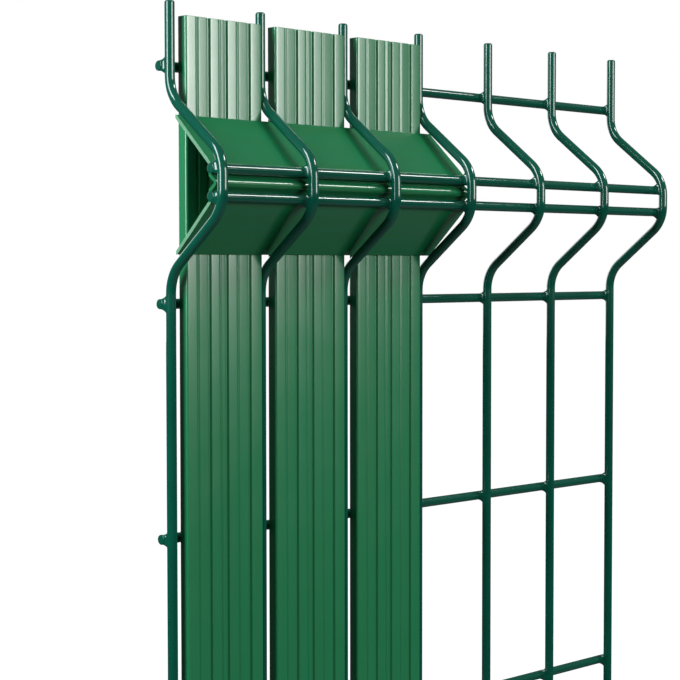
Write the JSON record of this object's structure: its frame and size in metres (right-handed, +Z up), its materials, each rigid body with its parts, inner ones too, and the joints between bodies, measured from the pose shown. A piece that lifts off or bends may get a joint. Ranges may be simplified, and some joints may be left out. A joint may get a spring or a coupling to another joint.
{
  "type": "welded mesh fence panel",
  "caption": "Folded welded wire mesh fence panel, dark green, with hollow ribbed privacy slats between some uprights and a bent plastic strip closing each fold in front of them.",
  "frame": {"origin": "centre of the flat lower end of the middle upright wire, at ground level", "axes": "+X along the panel from the slatted end to the open end, +Y towards the back (the folds stand out towards -Y), +Z up"},
  "size_m": [0.306, 0.0431, 1.03],
  "materials": {
    "coated_wire": "dark green gloss powder coat",
    "slat_plastic": "mid green extruded plastic, satin gloss",
    "strip_plastic": "mid green extruded plastic, satin gloss"
  },
  "bodies": {
    "root": {"welded_mesh": "coated_wire", "slat_1": "slat_plastic", "slat_2": "slat_plastic", "slat_3": "slat_plastic", "fold_strip_low": "strip_plastic", "fold_strip_high": "strip_plastic"}
  },
  "joints": []
}
